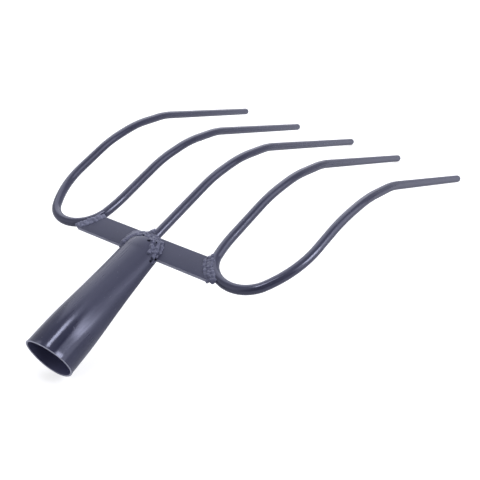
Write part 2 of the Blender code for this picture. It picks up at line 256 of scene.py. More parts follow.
class StageLook(PropertyGroup):
    """Floor, lamps and camera."""

    camera_place: place("Camera place", (0.30415, -0.25184, 0.35359), "Camera in the head's frame")
    camera_turn: FloatVectorProperty(
        name="Camera turn",
        description="Turn of the camera in the head's frame",
        default=(0.79471, 0.13291, 0.57374),
        subtype="EULER",
        size=3,
    )
    lens: number("Lens", 47.3625, "Focal length in millimetres on a 36 mm sensor")
    floor_size: length("Floor size", 9.0, "Side of the floor")
    lamp_target: place("Lamp target", (0.0, -0.15, 0.06), "Place that the lamps face")
    top_lamp: number("Top lamp", 14.0, "Brightness of the small lamp overhead")
    window: number("Window", 1.5, "Brightness of the large soft lamp ahead on the left")
    right_lamp: number("Right lamp", 10.0, "Brightness of the small lamp on the right")
    right_wall: number("Right wall", 2.4, "Brightness of the pale wall behind that lamp")
    floor_paint: number("Floor paint", 0.50, "Share of the light that the floor throws back")
    floor_glow: number("Floor glow", 0.70, "Brightness of the floor's own glow")
    floor_in_gloss: number("Floor in gloss", 0.46, "Share of that glow that shows in reflections")
    floor_tint: colour("Floor tint", (0.80, 0.83, 1.0), "Colour of the floor's glow in reflections")
    light_tint: colour("Light tint", (0.92, 0.93, 1.0), "Colour of the lamps and of the room")
    room: number("Room", 0.7, "Brightness of the room at floor level, ahead and on the left")
    ceiling: number("Ceiling", 0.55, "Brightness of the room overhead")
    rear: number("Rear", 0.6, "Added brightness of the room behind on the left")
    shade: number("Shade", 0.08, "Brightness of the room behind the camera")


# The head's own frame, read from the CAD crossbar


def head_frame():
    """Turn and place of the head: the middle of the bar's front face, and the slope of the bar."""
    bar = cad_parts["crossbar"]
    points = np.array([bar.matrix_world @ vertex.co for vertex in bar.data.vertices])
    corners = np.unique(points.round(SAME_CORNER), axis=0)
    ahead = corners[:, 1] > corners[:, 1].mean()
    front = corners[ahead].mean(axis=0)
    rear = corners[~ahead].mean(axis=0)
    slope = math.atan2(front[2] - rear[2], front[1] - rear[1])
    return Matrix.Translation(Vector(front)) @ Matrix.Rotation(slope, 4, "X")


# Meshes


def skin(rings, capped):
    """Joins rings of points to one skin, with both ends closed or, as a shell, back to the first ring."""
    bm = bmesh.new()
    loops = [[bm.verts.new(point) for point in ring] for ring in rings]
    pairs = list(zip(loops, loops[1:]))
    if capped:
        bm.faces.new(loops[0])
        bm.faces.new(loops[-1])
    else:
        pairs.append((loops[-1], loops[0]))
    for first, second in pairs:
        for i, corner in enumerate(first):
            bm.faces.new((first[i - 1], corner, second[i], second[i - 1]))
    bmesh.ops.recalc_face_normals(bm, faces=bm.faces)
    return bm


def add_object(name, data):
    """Links a mesh, a lamp or a camera to the scene."""
    added = bpy.data.objects.new(name, data)
    bpy.context.scene.collection.objects.link(added)
    return added


def to_mesh(name, bm):
    mesh = bpy.data.meshes.new(name)
    bm.to_mesh(mesh)
    bm.free()
    return mesh


def add_piece(name, bm, material):
    """Adds a mesh in the head's frame as the visible piece for the CAD node of the same name."""
    bm.transform(head_frame())
    mesh = to_mesh(name, bm)
    mesh.materials.append(material)
    mesh.shade_smooth()
    mesh.set_sharp_from_angle(angle=SHARP_ANGLE)
    piece = add_object("visible_" + name, mesh)
    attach(piece, "root")
    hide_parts(name)
    return piece


def metres(point):
    return Vector([part / MILLIMETRES for part in point])


def bumps(point, size, depth):
    """Uneven surface at a point: lumps of a size, up to a depth."""
    return depth * noise.noise(Vector(point) / size)


# Rods


def tine_length(tines, tine):
    """Developed length of a tine, counted -2 to 2 from left to right."""
    if tine == 0:
        return tines.centre_length
    if abs(tine) == 1:
        return tines.inner_length + math.copysign(tines.rod_shift, tine)
    return tines.outer_length - math.copysign(tines.rod_shift, tine)


def bends(tines, tine):
    """Start, bend per length and length of the three bends of a tine."""
    rows = (
        (tines.first_bend_place, tines.first_bend_angle, tines.first_bend_length),
        (tines.second_bend_place, tines.second_bend_angle, tines.second_bend_length),
        (tines.third_bend_place, tines.third_bend_angle, tines.third_bend_length),
    )
    for middle, angle, extent in rows:
        start = middle - tines.bend_advance * tine - extent / 2
        yield start, (angle + tines.droop * tine / len(rows)) / extent, extent


def side_profile(tines, distance, tine):
    """Forward and up place at a developed distance along a tine."""
    forward, up, slope, reached = 0.0, 0.0, 0.0, 0.0
    for start, rate, extent in bends(tines, tine):
        straight = min(distance, start) - reached
        forward += straight * math.cos(slope)
        up += straight * math.sin(slope)
        if distance <= start:
            return forward, up
        bent = slope - rate * min(distance - start, extent)
        forward += (math.sin(slope) - math.sin(bent)) / rate
        up += (math.cos(bent) - math.cos(slope)) / rate
        slope = bent
        reached = min(distance, start + extent)
    forward += (distance - reached) * math.cos(slope)
    up += (distance - reached) * math.sin(slope)
    return forward, up


def press_share(tines, distance, tine):
    """How much the press has flattened the rod here, from 0 to 1."""
    share = 0.0
    for start, _, extent in bends(tines, tine):
        spread = extent / 3
        away = (distance - start - extent / 2) / spread
        share += math.exp(-(away**2))
    return share


def leg(tines, base, splay, tine):
    """Points of a tine from its base to its tip, each with its width and height factor."""
    end = tine_length(tines, tine)
    steps = round((end - base.y) / ROD_STEP)
    rows = []
    for step in range(steps + 1):
        distance = base.y + (end - base.y) * step / steps
        forward, up = side_profile(tines, distance, tine)
        flat = tines.press_flat * press_share(tines, distance, tine)
        point = Vector((base.x + (distance - base.y) * math.tan(splay), forward, up))
        # Half of what the rod loses in height goes into its width
        rows.append((point, 1 + flat / 2, 1 - flat))
    return rows


def arc_centre(start, heading, radius):
    """Plan centre of an arc that turns left from a heading."""
    return start + radius * Vector((-math.sin(heading), math.cos(heading), 0))


def arc(tines, start, heading, radius, swing):
    """Points of an arc that turns left from a heading, without its first point."""
    centre = arc_centre(start, heading, radius)
    steps = round(swing / ARC_STEP)
    oval = tines.bend_oval * tines.u_tight_radius / radius
    rows = []
    for step in range(1, steps + 1):
        angle = heading + swing * step / steps
        point = centre + radius * Vector((math.sin(angle), -math.cos(angle), 0))
        # A third of what the rod loses in width goes into its height
        rows.append((point, 1 - oval, 1 + oval / 3))
    return rows


def tight_heading(tines):
    """Heading of the right rod where the tight part of its U starts."""
    return BACK - tines.inner_splay + tines.u_lead_turn


def lead(tines):
    """The slack first part of the right rod's U."""
    base = Vector((tines.inner_offset, tines.u_start, 0))
    return arc(tines, base, BACK - tines.inner_splay, tines.u_lead_radius, tines.u_lead_turn)


def pair_line(tines, side):
    """Line of the rod on one side (1 right, -1 left), from its inner tip round the U to its outer tip."""
    base = Vector((tines.inner_offset, tines.u_start, 0))
    inner = leg(tines, base, tines.inner_splay, side)
    slack = lead(tines)
    tight = arc(tines, slack[-1][0], tight_heading(tines), tines.u_tight_radius, tines.u_tight_turn)
    wide_heading = tight_heading(tines) + tines.u_tight_turn
    wide_turn = -BACK - tines.outer_splay - wide_heading
    wide = arc(tines, tight[-1][0], wide_heading, tines.u_wide_radius, wide_turn)
    outer = leg(tines, wide[-1][0], tines.outer_splay, 2 * side)
    rows = inner[::-1] + slack + tight + wide + outer[1:]
    return [(Vector((side * point.x, point.y, point.z)), width, height) for point, width, height in rows]


def rod_ring(tines, middle, along, width, height):
    """A ring of points round a rod, with its own width and height factor."""
    radius = tines.rod_diameter / 2
    side = along.cross(Vector((0, 0, 1))).normalized()
    up = side.cross(along)
    ring = []
    for i in range(ROD_SIDES):
        angle = math.tau * i / ROD_SIDES
        out = side * math.cos(angle) * width + up * math.sin(angle) * height
        grown = radius + bumps(middle + out * radius, ROD_MARK, tines.unevenness)
        ring.append(middle + out * grown)
    return ring


def tip_rings(tines, row, along, outward, tip):
    """Rings that round off an end of a rod, from its full width to its worn end face."""
    point, width, height = row
    chamfer, extent = tip
    least = 1 - chamfer / (tines.rod_diameter / 2)
    rings = []
    for share in TIP_SHARES:
        factor = least + (1 - least) * math.sqrt(1 - share**2)
        middle = point + along * outward * extent * (share - 1)
        rings.append(rod_ring(tines, middle, along, width * factor, height * factor))
    return rings


def rod_rings(tines, rows, first_tip, last_tip):
    """Rings along a rod. A tip is (chamfer, length), or None where the end is cut square."""
    points = [row[0] for row in rows]
    rings = []
    for i, (point, width, height) in enumerate(rows):
        along = (points[min(i + 1, len(rows) - 1)] - points[max(i - 1, 0)]).normalized()
        rings.append(rod_ring(tines, point, along, width, height))
    if last_tip:
        along = (points[-1] - points[-2]).normalized()
        kept = sum((points[-1] - point).length > last_tip[1] for point in points)
        rings = rings[:kept] + tip_rings(tines, rows[-1], along, 1, last_tip)
    if first_tip:
        along = (points[1] - points[0]).normalized()
        near = sum((points[0] - point).length <= first_tip[1] for point in points)
        rings = tip_rings(tines, rows[0], along, -1, first_tip)[::-1] + rings[near:]
    return rings


# Crossbar


def bar_end(tines, bar, y):
    """Half length of the bar at y, clear of the outside of the tight arc of the right rod's U."""
    centre = arc_centre(lead(tines)[-1][0], tight_heading(tines), tines.u_tight_radius)
    reach = tines.u_tight_radius + tines.rod_diameter / 2 + bar.end_gap
    return centre.x - (reach + (y - centre.y) * math.sin(bar.end_slant)) / math.cos(bar.end_slant)


def bar_section(bar, inset):
    """Rounded section of the bar: places across its width and thickness."""
    half_width = bar.width / 2 - inset
    half_height = bar.thickness / 2 - inset
    radius = bar.edge_radius
    section = []
    for corner, (across, up) in enumerate(((1, 1), (-1, 1), (-1, -1), (1, -1))):
        for step in range(BAR_CORNER_STEPS + 1):
            angle = math.radians(90) * (corner + step / BAR_CORNER_STEPS)
            y = across * (half_width - radius) + radius * math.cos(angle)
            z = up * (half_height - radius) + radius * math.sin(angle)
            section.append((y - bar.width / 2, z))
    return section


def bar_rings(tines, bar):
    """Sections along the bar, from its left to its right slanted end."""
    rings = []
    for step in range(-1, BAR_STEPS + 2):
        share = min(max(step / BAR_STEPS, 0), 1) * 2 - 1
        at_end = step in (-1, BAR_STEPS + 1)
        ring = []
        for y, z in bar_section(bar, bar.end_radius if at_end else 0.0):
            half = bar_end(tines, bar, y)
            if not at_end:
                half -= bar.end_radius
            x = half * share
            z += math.copysign(bumps((x, y, z), BAR_MARK, bar.unevenness), z)
            ring.append((x, y, z))
        rings.append(ring)
    return rings


# Socket


def socket_sizes(socket, distance):
    """Half width and half height of the socket at a distance from its mouth."""
    mouth = socket.diameter / 2
    past = distance - socket.straight
    eased = (past + math.sqrt(past**2 + socket.taper_ease**2)) / 2
    share = min(eased / (socket.tube_length - socket.straight), 1.0)
    waist = socket.waist * math.sin(math.pi * share)
    width = mouth + (socket.width_at_bar / 2 - mouth) * share - waist
    height = mouth + (socket.height_at_bar / 2 - mouth) * share - waist
    flare = socket.flare * max(0.0, 1 - distance / socket.flare_length) ** 2
    over = max(0.0, distance - socket.tube_length) / socket.nose
    rounding = 1 - math.sqrt(max(0.0, 1 - over**2))
    width += (socket.nose_width / 2 - width) * rounding + flare
    height += (socket.nose_height / 2 - height) * rounding + flare
    return width, height


def dent_depth(socket, distance, angle):
    """Depth of the pressed dent at a distance from the mouth and an angle round the tube."""
    along = (distance - socket.dent_place) / socket.dent_length
    around = (angle - socket.dent_angle) / socket.dent_spread
    return socket.dent * math.exp(-(along**2) - around**2)


def socket_ring(socket, bar, distance, inset):
    """A ring of the socket in the head's frame."""
    width, height = socket_sizes(socket, distance)
    lean = Euler((socket.pitch, 0, socket.yaw)).to_matrix()
    cut = max(0.0, 1 - distance / socket.straight)
    ring = []
    for i in range(SOCKET_SIDES):
        angle = math.tau * i / SOCKET_SIDES
        x = (width - inset) * math.cos(angle)
        z = (height - inset) * math.sin(angle)
        slant = x * math.tan(socket.cut_yaw) + z * math.tan(socket.cut_pitch)
        slant += socket.cut_saddle * math.cos(2 * angle)
        point = Vector((x, distance - socket.tube_length + cut * slant, z))
        out = Vector((math.cos(angle), 0, math.sin(angle)))
        rise = bumps(point, SOCKET_MARK, socket.unevenness)
        point += out * (rise - dent_depth(socket, distance, angle))
        ring.append(lean @ point - Vector((0, bar.width, 0)))
    return ring


def socket_rings(socket, bar):
    """The outside from the mouth to the nose, then the inside back to the mouth."""
    edge = socket.wall * RIM_EDGE
    stations = []
    for step in range(SOCKET_BODY_STEPS):
        stations.append(edge + (socket.tube_length - edge) * (step / SOCKET_BODY_STEPS))
    for step in range(SOCKET_NOSE_STEPS + 1):
        angle = math.pi / 2 * step / SOCKET_NOSE_STEPS
        stations.append(socket.tube_length + socket.nose * math.sin(angle))
    rings = [socket_ring(socket, bar, 0.0, edge)]
    rings += [socket_ring(socket, bar, station, 0.0) for station in stations]
    rings += [socket_ring(socket, bar, station, socket.wall) for station in stations[::-1]]
    rings.append(socket_ring(socket, bar, 0.0, socket.wall - edge))
    return rings


# Welds

# A ripple's half length against the distance between ripples, and its least half length against its size
RIPPLE_REACH = 1.4
RIPPLE_LEAST = 0.7

# Strength of each round of smoothing
SMOOTHING = 0.5

# Strength of the fine marks in a weld's surface against the coarse ones
FINE_SHARE = 0.5

# How far in millimetres the runs on the underside stop short of the rear end of those on top
REAR_MARGIN = 4.0


def bead(path, radius, welds, chance):
    """Ripples of one strand of weld along a path: place, heading and size of each."""
    wander = welds.wander
    ripples = []
    for start, end in zip(path, path[1:]):
        run = end - start
        steps = max(1, round(run.length / welds.step))
        for i in range(steps + 1):
            stray = Vector([chance.uniform(-wander, wander) for _ in range(3)])
            stray.z /= 2
            size = radius * (1 + chance.uniform(-wander, wander) / radius)
            ripples.append((start + run * i / steps + stray, math.atan2(run.y, run.x), size))
    return ripples


def lumps_mesh(ripples, welds):
    """One closed skin round all the ripples."""
    bm = bmesh.new()
    for middle, heading, size in ripples:
        half_length = max(welds.step * RIPPLE_REACH, size * RIPPLE_LEAST)
        shape = Matrix.Diagonal((half_length, size, size * welds.flat, 1))
        matrix = Matrix.Translation(middle) @ Matrix.Rotation(heading, 4, "Z") @ shape
        bmesh.ops.create_icosphere(bm, subdivisions=RIPPLE_SUBDIVISIONS, radius=1.0, matrix=matrix)
    holder = add_object("lumps", to_mesh("lumps", bm))
    melt = holder.modifiers.new("melt", "REMESH")
    melt.mode = "VOXEL"
    melt.voxel_size = WELD_VOXEL
    smooth = holder.modifiers.new("smooth", "SMOOTH")
    smooth.factor = SMOOTHING
    smooth.iterations = welds.rounds
    graph = bpy.context.evaluated_depsgraph_get()
    melted = bmesh.new()
    melted.from_mesh(holder.evaluated_get(graph).to_mesh())
    bpy.data.objects.remove(holder)
    return melted


def weather(bm, grain, pits):
    """Marks in a weld's surface, and gas pits of (place, radius, depth) in millimetres."""
    hollows = [(metres(middle), *metres(sizes)) for middle, *sizes in pits]
    bm.normal_update()
    moves = []
    for vertex in bm.verts:
        fine = FINE_SHARE * noise.noise(vertex.co / WELD_FINE_MARK)
        rise = grain * (fine + noise.noise(vertex.co / WELD_MARK))
        for middle, radius, depth in hollows:
            share = (vertex.co - middle).length / radius
            rise -= depth * max(0.0, 1 - share**2)
        moves.append(vertex.normal * rise)
    for vertex, move in zip(bm.verts, moves):
        vertex.co += move


def add_weld(name, run, welds, material, pits=()):
    """A weld run of several strands, each (radius, path), as the visible piece for a CAD weld."""
    chance = random.Random(name)
    ripples = []
    for radius, path in run:
        line = [metres(point) for point in path]
        ripples += bead(line, radius / MILLIMETRES, welds, chance)
    bm = lumps_mesh(ripples, welds)
    weather(bm, welds.grain, pits)
    add_piece(name, bm, material)


def add_weld_pair(name, run, under, side, welds, material, pits=()):
    """A weld run on the upper face of the bar, and another on its underside."""
    add_weld(name + "_top", flipped(run, side, 1), welds, material, pits)
    add_weld(name + "_under", flipped(under, side, -1), welds, material)


def flipped(run, side, up):
    """A run moved to a side (1 as given, -1 mirrored) and a face (1 upper, -1 under)."""
    return [(radius, [(side * x, y, up * z) for x, y, z in path]) for radius, path in run]


def cut_back(run):
    """A run without its rearmost points, so that it stops short of the bar's rear edge."""
    rear = min(y for _, path in run for _, y, _ in path)
    return [(radius, [point for point in path if point[1] > rear + REAR_MARGIN]) for radius, path in run]


# Strands of the weld runs: radius and path in millimetres, on the upper face, left runs as if on the right
LEFT_RUN = (
    (2.2, ((19.2, -21.8, 0.2), (19.2, -17, 1.3), (19.8, -10, 1.4), (18.6, -4.6, 1.5), (14.5, -2.2, 1.7))),
    (3.1, ((16.4, -21.2, 3.4), (16.4, -15, 3.9), (15.2, -10, 4.0), (12.8, -6.2, 4.0), (9.5, -4.8, 4.0))),
    (2.5, ((15.6, -20.4, 5.6), (15.0, -15, 5.9), (13.4, -10.8, 5.7), (11, -8.2, 5.5))),
)
RIGHT_RUN = (
    (1.9, ((17.4, -24.6, 0.9), (16.6, -15, 1.6), (14.8, -9.8, 1.8), (11.6, -5.6, 2.0), (8.5, -3.6, 2.2))),
    (2.6, ((16.0, -24.2, 3.6), (14.4, -15, 4.8), (12.4, -10.4, 5.0), (9.6, -7.4, 5.2))),
    (1.9, ((13.2, -20.8, 6.8), (11.2, -15.6, 7.5), (8.8, -12, 7.9), (6, -9.8, 7.8))),
)
FRONT_RUN = (
    (1.6, ((-13, -1.8, 1.8), (-6, -1.0, 2.4), (-2, -0.8, 3.2), (2, -0.9, 3.0), (8, -3.0, 2.4))),
    (1.8, ((-12.5, -5.0, 4.0), (-5, -4.4, 5.2), (2, -4.8, 5.6), (9, -6.6, 4.8))),
    (1.5, ((-10, -8.8, 6.4), (-4, -7.8, 7.6), (2, -8.2, 7.9), (8, -9.4, 7.0))),
)
LEFT_END_RUN = (
    (2.3, ((57.2, -0.6, 1.0), (60.8, -8, 1.6), (65, -14, 1.5), (69.6, -19.4, 0.8))),
    (2.1, ((58.8, 0.8, 1.8), (62.6, -6.6, 2.5), (67.2, -13, 2.4), (72.4, -18.8, 1.4))),
)
RIGHT_END_RUN = (
    (1.8, ((55.2, -4.2, 1.4), (58.6, -10, 1.4), (62.6, -15.2, 1.4), (69.4, -21.2, 0.9))),
    (2.2, ((57.2, -0.6, 2.1), (61.6, -8, 2.2), (66, -14, 2.2), (72.8, -21.0, 1.3))),
    (2.0, ((59.0, 1.4, 2.7), (63.4, -6.2, 3.0), (68.2, -12.8, 3.0), (74.4, -19.2, 2.2))),
)
CENTRE_RUN = (
    (1.9, ((-8.6, 0.2, 0.4), (-6.2, 1.6, 0.8), (-4.2, 4.0, 1.2))),
    (1.7, ((-7.4, -0.8, 2.0), (-4.8, 0.6, 2.9), (-2.6, 2.2, 3.6), (-1.2, 3.8, 3.9))),
)

# Hollows in the right weld: place, radius and depth in millimetres
GAS_PITS = (((16.6, -24.3, 4.0), 1.9, 2.2), ((18.0, -22.5, 2.0), 1.5, 1.4))

# Painted shade in the welds' pits and in the crevices between the front weld and the socket's nose: place
# and radius in millimetres, and the share of the radius that is all black
PIT_SHADE_CORE = 0.5
SHADED_PITS = (
    ((16.9, -25.6, 3.0), 1.5),
    ((18.1, -21.4, 1.6), 1.3),
    ((17.8, -25.5, -0.5), 1.4),
    ((-7.6, -10.6, 8.1), 1.5),
    ((-6.2, -10.2, 8.3), 1.5),
    ((-4.9, -9.8, 8.5), 1.5),
    ((-2.7, -8.8, 8.5), 1.3),
    ((5.4, -11.8, 9.0), 1.6),
    ((6.8, -11.4, 9.2), 1.6),
    ((8.1, -11.1, 9.4), 1.5),
    ((11.3, -9.4, 6.9), 1.1),
)


# Paint


class Value:
    """A value in a material's node tree. Arithmetic on it adds Math nodes."""

    def __init__(self, nodes, socket):
        self.nodes = nodes
        self.socket = socket

    def __add__(self, other):
        return self.nodes.math("ADD", self, other)

    def __radd__(self, other):
        return self.nodes.math("ADD", other, self)

    def __sub__(self, other):
        return self.nodes.math("SUBTRACT", self, other)

    def __rsub__(self, other):
        return self.nodes.math("SUBTRACT", other, self)

    def __mul__(self, other):
        return self.nodes.math("MULTIPLY", self, other)

    def __rmul__(self, other):
        return self.nodes.math("MULTIPLY", other, self)

    def clamped(self):
        return self.nodes.node("ShaderNodeClamp", {}, {"Value": self})


class Nodes:
    """Builds a node tree, of a material or of the world."""

    def __init__(self, tree):
        self.tree = tree
        tree.nodes.clear()

    def node(self, kind, settings, sockets, output=0):
        """Adds a node: its type, its settings, and the values or links of its sockets."""
        made = self.tree.nodes.new(kind)
        for key, setting in settings.items():
            setattr(made, key, setting)
        for key, value in sockets.items():
            if isinstance(value, Value):
                self.tree.links.new(value.socket, made.inputs[key])
            else:
                made.inputs[key].default_value = value
        return Value(self, made.outputs[output]) if made.outputs else made

    def math(self, operation, first, second):
        return self.node("ShaderNodeMath", {"operation": operation}, {0: first, 1: second})

    def mix(self, share, first, second):
        """A colour between two colours. Sockets of other types have the same names, so numbers are used."""
        return self.node("ShaderNodeMix", {"data_type": "RGBA"}, {0: share, 6: first, 7: second}, 2)

    def noise(self, where, scale, detail):
        sockets = {"Vector": where, "Scale": scale, "Detail": detail}
        return self.node("ShaderNodeTexNoise", {}, sockets, "Fac")

    def ease(self, value, low, high):
        """A smooth rise from 0 at low to 1 at high."""
        sockets = {"Value": value, "From Min": low, "From Max": high}
        return self.node("ShaderNodeMapRange", {"interpolation_type": "SMOOTHSTEP"}, sockets)

    def in_frame(self, head):
        """The place on the object in a frame that is turned and moved."""
        where = self.node("ShaderNodeTexCoord", {}, {}, "Object")
        inputs = {"Vector": where, "Location": head.to_translation(), "Rotation": head.to_euler()}
        return self.node("ShaderNodeMapping", {"vector_type": "TEXTURE"}, inputs)

    def axis(self, where, name):
        return self.node("ShaderNodeSeparateXYZ", {}, {"Vector": where}, name)

    def ray(self, name):
        return self.node("ShaderNodeLightPath", {}, {}, name)

    def stretched(self, where, factors):
        return self.node("ShaderNodeVectorMath", {"operation": "MULTIPLY"}, {0: where, 1: factors})


def opaque(rgb):
    return (*rgb, 1.0)


# Streaks per metre along each axis: lengthwise on the rods and socket, across the head on the bar
DRAWN_ALONG = (900.0, 40.0, 900.0)
DRAWN_ACROSS = (25.0, 700.0, 700.0)

# Clouds, orange peel and specks in the paint, per metre, and the level above which noise is a speck
CLOUD_SCALE = 45.0
PEEL_SCALE = 1300.0
SPECK_SCALE = 520.0
SPECK_LEVEL = 0.70
SPECK_SLOPE = 9.0
NOISE_MIDDLE = 0.5

# How much they change the paint's tone, roughness and height
CLOUD_TONE = 1.4
CLOUD_ROUGHNESS = 0.10
STREAK_ROUGHNESS = 0.25
STREAK_HEIGHT = 0.25
SPECK_TONE = 0.12
SPECK_ROUGHNESS = 0.15
SPECK_HEIGHT = 0.3
BUMP_STRENGTH = 0.25
BUMP_HEIGHT = 0.00006
GLOSS = 0.55

# Where the socket's paint gets duller: in metres along the pressed part, and across to its right side
PRESSED = (-0.118, -0.074)
DULL_SIDE = (0.0, 0.008)

# Lighter paint on the rods: metres along, counted back towards the U bend and ahead to the tips, and its
# share.
# Towards the tips it is painted light, for the reflections that the drooping ends catch
BEND_LIGHTER = (-0.10, -0.02)
BEND_LIGHTENING = 0.035
TIP_LIGHTER = (0.15, 0.33)
TIP_LIGHTENING = 0.05

# Slant over which the rods get duller, where 0 is square to the view and 1 is along it
SLANT = (0.45, 0.85)


def paint_material(
    name, look, tones, roughness, peel=0.6, streaks=0.0, dullness=None, lightening=None, grain=DRAWN_ALONG
):
    """Semi-gloss paint: tone and gloss vary a little, with fine orange peel and drawn streaks.

    Tones are the darkest and the lightest colour. Peel and streaks are the strength of each.
    Dullness and lightening are functions of the nodes and the place: the added roughness, and the
    share of the paint that is made lighter. Grain is how fine the streaks are along each axis.
    """
    material = bpy.data.materials.new(name)
    material.use_nodes = True
    nodes = Nodes(material.node_tree)
    where = nodes.in_frame(head_frame())
    cloud = nodes.noise(where, CLOUD_SCALE, detail=3.0)
    drawn = nodes.noise(nodes.stretched(where, grain), scale=1.0, detail=2.0)
    fine = nodes.noise(where, PEEL_SCALE, detail=2.0)
    speck = ((nodes.noise(where, SPECK_SCALE, detail=1.0) - SPECK_LEVEL) * SPECK_SLOPE).clamped()
    cloudy = cloud - NOISE_MIDDLE
    streaky = (drawn - NOISE_MIDDLE) * streaks
    tone = (NOISE_MIDDLE + cloudy * CLOUD_TONE + streaky).clamped()
    base = nodes.mix(tone, opaque(tones[0]), opaque(tones[1]))
    base = nodes.mix(speck * SPECK_TONE, base, opaque(look.edge))
    rough = roughness + cloudy * CLOUD_ROUGHNESS + streaky * STREAK_ROUGHNESS + speck * SPECK_ROUGHNESS
    if lightening:
        base = nodes.mix(lightening(nodes, where), base, opaque(look.edge))
    if dullness:
        rough = rough + dullness(nodes, where)
    # Painted shade in the pits and crevices of the welds: a black colour, fully metallic there so that no
    # gloss shows either
    pit_shade = pit_shade_share(nodes, where)
    base = nodes.mix(pit_shade, base, opaque(look.pit_shade))
    height = fine * peel + drawn * streaks * STREAK_HEIGHT + speck * SPECK_HEIGHT
    bump = {"Strength": BUMP_STRENGTH, "Distance": BUMP_HEIGHT, "Height": height}
    normal = nodes.node("ShaderNodeBump", {}, bump)
    shader = nodes.node(
        "ShaderNodeBsdfPrincipled",
        {},
        {
            "Base Color": base,
            "Roughness": rough,
            "Metallic": pit_shade,
            "Normal": normal,
            "Specular Tint": opaque(look.gloss_tint),
            "Specular IOR Level": GLOSS,
        },
    )
    nodes.node("ShaderNodeOutputMaterial", {}, {"Surface": shader})
    return material


def pit_shade_share(nodes, where):
    """Painted shade: 1 in the pits and crevices of the welds, 0 elsewhere."""
    share = 0.0
    for middle, radius in SHADED_PITS:
        sockets = {0: where, 1: metres(middle)}
        away = nodes.node("ShaderNodeVectorMath", {"operation": "DISTANCE"}, sockets, "Value")
        share = nodes.ease(away * -MILLIMETRES, -radius, -radius * PIT_SHADE_CORE) + share
    return share.clamped()


def socket_paint(look):
    def dullness(nodes, where):
        pressed = nodes.ease(nodes.axis(where, "Y"), *PRESSED)
        right = nodes.ease(nodes.axis(where, "X"), *DULL_SIDE)
        return pressed * (look.taper_roughness - look.tube_roughness + right * look.matte_side)

    tones = (look.shade, look.light)
    roughness = look.tube_roughness
    return paint_material("socket_paint", look, tones, roughness, peel=0.35, streaks=0.8, dullness=dullness)


def rim_paint(look):
    return paint_material("rim_paint", look, (look.edge, look.edge), look.bar_roughness)


# Painted light: the lighter inside colour stands in for the light that bounces in through the mouth
def lit_inside_paint(look):
    return paint_material("lit_inside_paint", look, (look.inside, look.inside), look.bar_roughness)


def rod_paint(look):
    # Lighter towards the tips, as painted light for the reflections their drooping ends catch, and a little
    # lighter back towards the U bend
    def lightening(nodes, where):
        along = nodes.axis(where, "Y")
        bend = nodes.ease(along * -1.0, *BEND_LIGHTER) * BEND_LIGHTENING
        return bend + nodes.ease(along, *TIP_LIGHTER) * TIP_LIGHTENING

    def dullness(nodes, where):
        slant = nodes.node("ShaderNodeLayerWeight", {}, {}, "Facing")
        return nodes.ease(slant, *SLANT) * look.rod_rim_dullness

    tones = (look.shade, look.light)
    roughness = look.rod_roughness
    return paint_material(
        "rod_paint", look, tones, roughness, peel=0.45, streaks=0.2, dullness=dullness, lightening=lightening
    )


def bar_paint(look):
    tones = (look.shade, look.light)
    roughness = look.bar_roughness
    return paint_material("bar_paint", look, tones, roughness, peel=0.8, streaks=0.9, grain=DRAWN_ACROSS)


# Painted sheen on the bar's front and rear faces: lighter paint for the light they reflect
def bar_sheen_paint(look):
    tones = (look.weld_light, look.edge)
    return paint_material("bar_sheen_paint", look, tones, look.bar_roughness, peel=0.8, streaks=0.1)


# Painted light: a lighter copy of the paint for the welds, for the light that their lumps catch
def weld_paint(look):
    return paint_material("weld_paint", look, (look.weld_shade, look.weld_light), look.weld_roughness)


# Painted light: a lighter copy of the weld paint for the left end and centre welds, which catch more light
def brighter_lit_weld_paint(look):
    return paint_material("brighter_lit_weld_paint", look, (look.weld_light, look.weld_brighter_lit), look.weld_roughness)


# Stage

# Lamps: azimuth and elevation in degrees, distance, width and height in metres
LAMPS = {
    "top_lamp": (180, 88, 2.5, 0.55, 0.55),
    "window": (-40, 30, 3.0, 3.5, 4.0),
    "right_lamp": (71, 32, 3.0, 0.80, 1.4),
    "right_wall": (63, 19, 3.2, 2.6, 4.0),
}

# The room, by the parts of a unit vector: where its lit side, its ceiling and its rear begin and are full
LIT_AHEAD = 0.3
LIT_LEFT = 0.9
LIT = (-0.6, 0.0)
CEILING = (0.3, 0.95)
REAR = (0.3, 0.8)

# Width of the camera's sensor in millimetres
SENSOR = 36.0


def floor_material(look):
    """Pale grey that also glows, less in reflections than to the camera."""
    material = bpy.data.materials.new("floor")
    material.use_nodes = True
    nodes = Nodes(material.node_tree)
    pale = nodes.node("ShaderNodeBsdfDiffuse", {}, {"Color": opaque([look.floor_paint] * 3)})
    direct = nodes.ray("Is Camera Ray")
    seen = (direct + nodes.ray("Is Glossy Ray") * look.floor_in_gloss).clamped()
    tint = nodes.mix(direct, opaque(look.floor_tint), WHITE)
    glow = nodes.node("ShaderNodeEmission", {}, {"Color": tint, "Strength": seen * look.floor_glow})
    both = nodes.node("ShaderNodeAddShader", {}, {0: pale, 1: glow})
    nodes.node("ShaderNodeOutputMaterial", {}, {"Surface": both})
    return material


def add_floor(look):
    bm = bmesh.new()
    bmesh.ops.create_grid(bm, x_segments=1, y_segments=1, size=look.floor_size / 2)
    mesh = to_mesh("floor", bm)
    mesh.materials.append(floor_material(look))
    add_object("floor", mesh)


